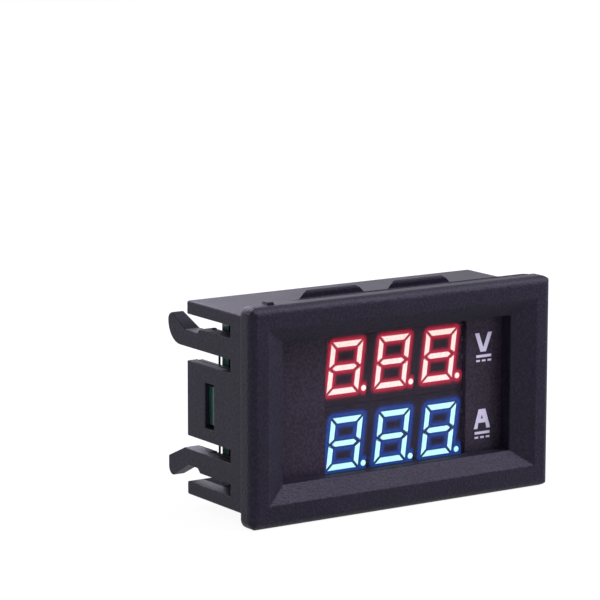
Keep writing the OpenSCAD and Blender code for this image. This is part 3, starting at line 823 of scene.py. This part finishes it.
@dataclass
class CaseMoulding:
    """The black moulding, its edges softened, and what its mould left on it; sizes in mm."""

    effects: Effects
    edge: float = 0.14
    smooth: float = 50.0
    bezel_t: float = 2.8
    shell_grain: float = 0.25
    grain_fade: float = 0.3
    seat: float = 1.0
    pocket_margin: float = 0.5
    pocket_blur: float = 0.1
    flash_start: float = -16.5
    flash_end: float = 22.0
    flash_run_in: float = 2.5
    flash_run_out: float = 1.0
    flash_height: float = 0.13
    flash_far_height: float = 0.104
    flash_depth: float = 0.28
    flash_root: float = 0.05
    flash_smooth: float = 30.0
    nub_x: float = -20.2
    nub_h: float = 0.34
    nub_foot: float = 1.3
    nub_top: float = 0.8
    nub_root: float = 0.1
    nub_depth: float = 1.2

    def build(self) -> None:
        """Builds the moulding, its flash and its nub."""
        material = CASE_BLACK.make(self.effects)
        self._matt_pocket(material)
        self._calm_shell(material)
        bm = merged_copy("case")
        soften(bm, self.edge)
        piece = finished("case_moulding", bm, material, "case_black", self.smooth)
        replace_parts(piece, "case")
        bm = bmesh.new()
        self._flash(bm)
        self._nub(bm)
        finished("moulding_flash", bm, material, "case_black", self.flash_smooth)

    def _calm_shell(self, material: Material) -> None:
        """Keeps the deep grain to the bezel: the shell behind it is smoother.

        Args:
            material: the moulding's finish.
        """
        graph = Graph(material.node_tree)
        low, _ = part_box("case")
        step = low.y + self.bezel_t * MM
        fade = (step - self.grain_fade * MM, step)
        share = graph.ramp(graph.place()[1], *fade, 1.0, self.shell_grain)
        height = node_of(material, "BUMP").inputs["Height"]
        graph.feed(height, graph.math("MULTIPLY", height.links[0].from_socket, share))

    def _matt_pocket(self, material: Material) -> None:
        """Makes the moulding matt inside, from the film's seat back.

        Args:
            material: the moulding's finish.
        """
        graph = Graph(material.node_tree)
        low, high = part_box("window_film")
        aside = self.effects.past(graph, low, high, self.pocket_margin * MM)
        ahead = graph.math("SUBTRACT", low.y - self.seat * MM, graph.place()[1])
        blur = self.pocket_blur * MM
        inside = graph.ramp(graph.highest(aside, ahead), -blur, blur, 1.0, 0.0)
        rough = node_of(material, "BSDF_PRINCIPLED").inputs["Roughness"]
        graph.feed(rough, graph.highest(rough.links[0].from_socket, inside))

    def _rear_edge(self) -> Point:
        """Finds the depth and height of the bezel's rear upper edge, in mm."""
        low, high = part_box("case")
        return low.y / MM + self.bezel_t, high.z / MM

    def _section(self, x: float, rise: float) -> list[Place]:
        """Gives the corners of the flash's section at one place.

        Args:
            x: how far across the section is, in mm.
            rise: how far it stands above the edge, in mm.

        Returns:
            Its four corners in metres.
        """
        back, top = self._rear_edge()
        root, crest = top - self.flash_root, top + rise
        toe, lip = back - self.flash_depth, back - self.flash_root
        corners = ((toe, root), (lip, crest), (back, crest), (back, root))
        return [(x * MM, y * MM, z * MM) for y, z in corners]

    def _flash(self, bm: Solid) -> None:
        """Adds the thin flash along the bezel's rear upper edge, drawn out from its first end.

        Args:
            bm: the mesh it goes into.
        """
        face = bm.faces.new([bm.verts.new(c) for c in self._section(self.flash_start, 0.0)])
        for x, rise in (
            (self.flash_start + self.flash_run_in, self.flash_height),
            (self.flash_end - self.flash_run_out, self.flash_far_height),
            (self.flash_end, 0.0),
        ):
            made = bmesh.ops.extrude_face_region(bm, geom=[face, *face.edges])["geom"]
            face = next(item for item in made if isinstance(item, bmesh.types.BMFace))
            for vert, corner in zip(face.verts, self._section(x, rise)):
                vert.co = corner
        bmesh.ops.recalc_face_normals(bm, faces=bm.faces)

    def _nub(self, bm: Solid) -> None:
        """Adds the nub on the bezel's rear upper edge.

        Args:
            bm: the mesh it goes into.
        """
        back, top = self._rear_edge()
        foot, head = top - self.nub_root, top + self.nub_h
        lower = [(self.nub_x + side * self.nub_foot / 2, foot) for side in (-1, 1)]
        upper = [(self.nub_x + side * self.nub_top / 2, head) for side in (1, -1)]
        prism(bm, lower + upper, back - self.nub_depth, back)


@dataclass
class Window:
    """The tinted film and the unit marks on it; sizes in mm, letters above their row's sign."""

    effects: Effects
    clear: float = 0.35
    dense: float = 0.975
    clear_blur: float = 0.2
    print_t: float = 0.02
    volt_z: float = 18.15
    amp_z: float = 7.62
    volt_sign_x: float = 14.05
    amp_sign_x: float = 13.92
    sign_length: float = 2.48
    sign_thick: float = 0.36
    dashes: int = 3
    dash: float = 0.6
    dash_thick: float = 0.26
    dash_drop: float = 0.58
    volt: tuple[Point, ...] = (
        (13.78, 3.37), (14.73, 0.77), (15.64, 0.77), (16.62, 3.37),
        (15.95, 3.37), (15.18, 1.35), (14.46, 3.37),
    )
    amp_left: tuple[Point, ...] = (
        (13.76, 0.76), (14.54, 3.42), (15.1, 3.42), (15.1, 2.68), (14.92, 2.1),
        (15.1, 2.1), (15.1, 1.55), (14.5, 1.55), (14.37, 0.76),
    )
    amp_right: tuple[Point, ...] = (
        (15.1, 3.42), (15.66, 3.42), (16.5, 0.76), (15.87, 0.76), (15.7, 1.55),
        (15.1, 1.55), (15.1, 2.1), (15.28, 2.1), (15.1, 2.68),
    )

    def build(self) -> None:
        """Dresses the film and prints V and A on it, each over the direct current sign."""
        dress("window_film", self._smoke())
        low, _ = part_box("window_film")
        depths = (low.y / MM - self.print_t, low.y / MM)
        bm = bmesh.new()
        for row_z, letter in (
            (self.volt_z, self.volt), (self.amp_z, self.amp_left), (self.amp_z, self.amp_right),
        ):
            prism(bm, [(x, row_z + z) for x, z in letter], *depths)
        for row_z, left in ((self.volt_z, self.volt_sign_x), (self.amp_z, self.amp_sign_x)):
            self._current_sign(bm, left, row_z, depths)
        finished("unit_marks", bm, MARK_PALE.make(self.effects))

    def _smoke(self) -> Material:
        """Builds the film's material, which lets light through only ahead of the displays.

        Returns:
            The new material.
        """
        material = FILM_SMOKE.make(self.effects)
        graph = Graph(material.node_tree)
        low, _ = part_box("blue_display_housing")
        _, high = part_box("red_display_housing")
        past = self.effects.past(graph, low, high)
        cover = graph.ramp(past, 0.0, self.clear_blur * MM, self.clear, self.dense)
        graph.feed(node_of(material, "BSDF_PRINCIPLED").inputs["Alpha"], cover)
        return material

    def _current_sign(self, bm: Solid, left: float, foot: float, depths: Point) -> None:
        """Prints the direct current sign: a bar over a row of dashes.

        Args:
            bm: the mesh it goes into.
            left: the bar's left end, in mm.
            foot: the bar's lower edge, in mm.
            depths: depth of the print's front and back, in mm.
        """
        middle = foot + self.sign_thick / 2
        strip(bm, (left, middle), (left + self.sign_length, middle), self.sign_thick, *depths)
        middle = foot - self.dash_drop + self.dash_thick / 2
        pitch = (self.sign_length - self.dash) / (self.dashes - 1)
        for start in (left + step * pitch for step in range(self.dashes)):
            strip(bm, (start, middle), (start + self.dash, middle), self.dash_thick, *depths)


@dataclass
class Displays:
    """The two lit rows of numerals; sizes in mm."""

    effects: Effects
    numerals: Numerals = Numerals()
    rows: tuple[tuple[str, Glow], ...] = (("red", RED_LIGHT), ("blue", BLUE_LIGHT))
    rounding: float = 0.05
    point_corners: int = 20
    smooth: float = 50.0

    def build(self) -> None:
        """Dresses each row's housing and builds its bars and points."""
        for color, glow in self.rows:
            low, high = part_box(f"{color}_segments")
            face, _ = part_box(f"{color}_display_housing")
            row_z = (low.z + high.z) / 2
            light = glow.bars(row_z, self.effects)
            dress(f"{color}_display_housing", glow.housing(row_z, face.y, self.effects))
            dress(f"{color}_segments", light)
            depths = (low.y / MM, high.y / MM)
            bm = bmesh.new()
            for outline in self.numerals.bars(row_z / MM):
                prism(bm, outline, *depths)
            for centre in self.numerals.points(row_z / MM):
                disc(bm, centre, self.numerals.point / 2, *depths, self.point_corners)
            soften(bm, self.rounding)
            piece = finished(f"{color}_bars", bm, light, f"{color}_light", self.smooth)
            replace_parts(piece, f"{color}_segments")


@dataclass
class Board:
    """The circuit board, its tracks and prints, and what stands on it; sizes in mm."""

    effects: Effects
    track_w: float = 0.32
    track_t: float = 0.035
    track_step: float = 0.004
    bend_corners: int = 8
    via_r: float = 0.36
    via_proud: float = 0.02
    # radius of the black disc of painted shade in each plated hole, and how far it stands proud
    hole_shade_r: float = 0.162
    hole_shade_proud: float = 0.03
    print_t: float = 0.02
    print_w: float = 0.14
    margin: float = 0.3
    dot_r: float = 0.24
    dot_inset: float = 0.85
    band_inset: float = 0.25
    band_margin: float = 0.3
    diode_band: float = 0.75
    capacitor_band: float = 0.7
    mark_sunk: float = 0.02
    mark_proud: float = 0.008
    smooth: float = 50.0
    framed: tuple[tuple[str, ...], ...] = (
        ("amplifier_body", "amplifier_leads"),
        ("microcontroller_body", "microcontroller_leads"),
        ("regulator_body", "regulator_leads"),
        ("diode_body", "diode_leads"),
        ("smoothing_capacitor_body", "smoothing_capacitor_leads"),
        ("sense_socket_shroud",),
        ("supply_socket_shroud",),
        ("voltage_trimmer_base",),
        ("current_trimmer_base",),
    )
    rounded: tuple[tuple[str, str, float], ...] = (
        ("sense_socket_shroud", "socket_white", 0.12),
        ("supply_socket_shroud", "socket_white", 0.12),
        ("microcontroller_body", "chip_black", 0.07),
        ("amplifier_body", "chip_black", 0.09),
        ("diode_body", "chip_black", 0.09),
        ("smoothing_capacitor_body", "tantalum_orange", 0.12),
    )
    tracks: tuple[tuple[Point, ...], ...] = (
        ((-6.6, 11.4), (-4.4, 11.4), (-3.4, 10.4), (-3.4, 8.0), (-2.2, 6.8), (-1.0, 6.8)),
        ((3.2, 7.2), (6.0, 7.2), (7.2, 8.4), (10.6, 8.4)),
        ((3.2, 8.6), (5.6, 8.6), (6.8, 9.8), (10.6, 9.8)),
        ((3.2, 10.0), (5.2, 10.0), (6.4, 11.2), (10.6, 11.2)),
        ((6.2, 19.0), (8.0, 19.0), (8.8, 18.2), (10.6, 18.2)),
        ((8.9, 22.2), (9.5, 21.6), (10.6, 21.6)),
        ((-0.4, 18.2), (2.8, 18.2)),
        ((-0.9, 19.8), (2.8, 19.8)),
        ((-11.2, 17.0), (-11.2, 19.6), (-10.6, 20.2), (-10.6, 21.0)),
        ((-8.6, 17.0), (-8.6, 19.2), (-7.6, 20.2), (-5.6, 20.2)),
        ((-12.2, 9.9), (-12.2, 7.0), (-11.0, 5.8), (-7.0, 5.8)),
        ((-10.8, 9.9), (-10.8, 8.4), (-9.8, 7.4), (-7.2, 7.4)),
        ((9.4, 16.2), (9.4, 13.4), (10.6, 12.2)),
        ((-20.7, 6.0), (-20.7, 22.6), (-19.6, 23.7), (-18.4, 23.7)),
        ((20.6, 6.2), (20.6, 22.8)),
        ((13.0, 5.4), (19.4, 5.4), (20.6, 6.2)),
    )

    def build(self) -> None:
        """Dresses the plain CAD nodes, then adds tracks, prints and bands."""
        made = {finish: finish.value.make(self.effects) for finish in Finish}
        for node, finish in NODE_FINISHES.items():
            dress(node, made[finish])
        for node, slot, radius in self.rounded:
            bm = merged_copy(node)
            soften(bm, radius)
            material = made[NODE_FINISHES[node]]
            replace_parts(finished(f"{node}_moulding", bm, material, slot, self.smooth), node)
        _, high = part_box("circuit_board")
        self._tracks(high.y / MM, made[Finish.SOLDER])
        self._frames(high.y / MM)
        self._bands()

    def _tracks(self, face: float, metal: Material) -> None:
        """Lays the tracks under the green mask, each with a plated hole at its far end, whose
        dark inside is painted shade: a black disc on the plating.

        Where two stretches of a track meet at a bend, they and the bend differ in height.

        Args:
            face: depth of the board's rear face in mm.
            metal: the plated holes' finish.
        """
        copper, plated, hole_shade = bmesh.new(), bmesh.new(), bmesh.new()
        back = face + self.track_t
        bend_back = back - 2 * self.track_step
        for track in self.tracks:
            for number, (start, end) in enumerate(zip(track, track[1:])):
                own_back = back - self.track_step * (number % 2)
                strip(copper, start, end, self.track_w, face, own_back)
                disc(copper, end, self.track_w / 2, face, bend_back, self.bend_corners)
            disc(plated, track[-1], self.via_r, face, back + self.via_proud)
            # painted shade: a black disc on each plated ring stands for the dark inside of its
            # hole
            disc(hole_shade, track[-1], self.hole_shade_r, face, back + self.hole_shade_proud)
        finished("board_tracks", copper, BOARD_TRACK.make(self.effects), "board_green")
        finished("board_vias", plated, metal, "solder")
        # the black discs of painted shade that stand for the holes
        finished("board_hole_shade", hole_shade, CHIP_BLACK.make(self.effects), "chip_black")

    def _frames(self, face: float) -> None:
        """Prints a frame round each part on the board.

        Args:
            face: depth of the board's rear face in mm.
        """
        bm = bmesh.new()
        width, depths = self.print_w, (face, face + self.print_t)
        for nodes in self.framed:
            boxes = [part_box(node) for node in nodes]
            left = min(low.x for low, _ in boxes) / MM - self.margin
            right = max(high.x for _, high in boxes) / MM + self.margin
            foot = min(low.z for low, _ in boxes) / MM - self.margin
            head = max(high.z for _, high in boxes) / MM + self.margin
            for z in (foot + width / 2, head - width / 2):
                strip(bm, (left, z), (right, z), width, *depths)
            for x in (left + width / 2, right - width / 2):
                strip(bm, (x, foot), (x, head), width, *depths)
        finished("board_print", bm, BOARD_PRINT.make(self.effects))

    def _bands(self) -> None:
        """Marks the first lead of each chip and one end of the diode and the capacitor."""
        pale, dark = bmesh.new(), bmesh.new()
        for node in ("microcontroller_body", "amplifier_body"):
            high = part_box(node)[1] / MM
            centre = (high.x - self.dot_inset, high.z - self.dot_inset)
            disc(pale, centre, self.dot_r, high.y - self.mark_sunk, high.y + self.mark_proud)
        for node, bm, length in (
            ("diode_body", pale, self.diode_band),
            ("smoothing_capacitor_body", dark, self.capacitor_band),
        ):
            low, high = (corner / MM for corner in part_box(node))
            end, z = high.x - self.band_inset, (low.z + high.z) / 2
            width = high.z - low.z - 2 * self.band_margin
            depths = (high.y - self.mark_sunk, high.y + self.mark_proud)
            strip(bm, (end - length, z), (end, z), width, *depths)
        finished("chip_marks", pale, CHIP_MARK.make(self.effects))
        finished("capacitor_band", dark, TANTALUM_BAND.make(self.effects))


@dataclass(frozen=True)
class Lamp:
    """One square soft box: its place and side in metres, and its power in watts."""

    name: str
    place: Place
    side: float
    power: float


@dataclass
class Studio:
    """Floor, lamps, backdrop and camera; the camera's points in mm, the rest in metres."""

    camera_at: Place = (-226.3, -326.95, 96.2)
    look_at: Place = (-16.759, -11.15, 29.534)
    roll: float = math.radians(0.11)
    lens: float = 181.7
    sensor: float = 36.0
    nearest: float = 0.01
    farthest: float = 20.0
    floor_size: float = 6.0
    floor_color: Rgb = (0.8, 0.8, 0.8)
    floor_level: float = 1.1
    floor_share: float = 0.85
    ambient: float = 0.42
    tint: Rgb = (0.955, 0.885, 1.16)
    lamp_aim: Place = (0.0, 0.0, 0.015)
    lamps: tuple[Lamp, ...] = (
        Lamp("rear_top", (0.1, 0.7, 0.3), 0.5, 4.0),
        Lamp("bevel_key", (0.42, -0.31, 0.57), 0.33, 6.4),
        Lamp("rear_left", (-0.5, 0.4, 0.25), 0.4, 0.6),
        Lamp("low_front", (0.45, -0.75, 0.02), 0.3, 0.2),
    )

    def build(self) -> None:
        """Sets up the whole studio."""
        self._floor()
        self._world()
        for lamp in self.lamps:
            self._hang(lamp)
        self._camera()
        bpy.context.scene.view_settings.view_transform = "Standard"

    def _floor(self) -> None:
        """Lays the pale floor, which is nearly white where it is seen and takes a shadow."""
        bm = bmesh.new()
        bmesh.ops.create_grid(bm, x_segments=1, y_segments=1, size=self.floor_size / 2)
        mesh = bpy.data.meshes.new("floor")
        bm.to_mesh(mesh)
        bm.free()
        material = bpy.data.materials.new("pale_floor")
        material.use_nodes = True
        material.node_tree.nodes.clear()
        graph = Graph(material.node_tree)
        lit = graph.add("ShaderNodeBsdfDiffuse", {"Color": self.floor_color}).outputs[0]
        level = {"Color": WHITE, "Strength": self.floor_level}
        white = graph.add("ShaderNodeEmission", level).outputs[0]
        share = graph.math("MULTIPLY", graph.shown(), self.floor_share)
        blend = graph.add("ShaderNodeMixShader", {0: share, 1: lit, 2: white})
        graph.add("ShaderNodeOutputMaterial", {"Surface": blend.outputs[0]})
        mesh.materials.append(material)
        floor = bpy.data.objects.new("floor", mesh)
        bpy.context.scene.collection.objects.link(floor)

    def _world(self) -> None:
        """Lights the world: white where it is seen or mirrored, and soft light."""
        world = bpy.data.worlds.new("studio")
        bpy.context.scene.world = world
        world.use_nodes = True
        world.node_tree.nodes.clear()
        graph = Graph(world.node_tree)
        soft, white = (
            graph.add("ShaderNodeBackground", {"Color": color, "Strength": level}).outputs[0]
            for color, level in ((self.tint, self.ambient), (WHITE, 1.0))
        )
        blend = graph.add("ShaderNodeMixShader", {0: graph.shown(), 1: soft, 2: white})
        graph.add("ShaderNodeOutputWorld", {"Surface": blend.outputs[0]})

    def _hang(self, lamp: Lamp) -> None:
        """Hangs one soft box that faces the meter.

        Args:
            lamp: the soft box.
        """
        data = bpy.data.lights.new(lamp.name, "AREA")
        data.size, data.energy, data.color = lamp.side, lamp.power, self.tint
        hung = bpy.data.objects.new(lamp.name, data)
        hung.location = lamp.place
        facing = Vector(self.lamp_aim) - Vector(lamp.place)
        hung.rotation_euler = facing.to_track_quat("-Z", "Y").to_euler()
        bpy.context.scene.collection.objects.link(hung)

    def _camera(self) -> None:
        """Sets up the camera at the usual three-quarter view."""
        data = bpy.data.cameras.new("camera")
        data.lens, data.sensor_width = self.lens, self.sensor
        data.clip_start, data.clip_end = self.nearest, self.farthest
        camera = bpy.data.objects.new("camera", data)
        place, aim = (Vector(point) * MM for point in (self.camera_at, self.look_at))
        camera.location = place
        facing = (aim - place).to_track_quat("-Z", "Y").to_matrix()
        camera.rotation_euler = (facing @ Matrix.Rotation(self.roll, 3, "Z")).to_euler()
        bpy.context.scene.collection.objects.link(camera)
        bpy.context.scene.camera = camera


def main() -> None:
    """Builds every sub-assembly in order."""
    logging.basicConfig(level=logging.INFO, format="%(message)s")
    effects = Effects()
    meter = (CaseMoulding(effects), Window(effects), Displays(effects), Board(effects))
    for part in (Studio(), *meter):
        part.build()


if __name__ == "__main__":
    main()
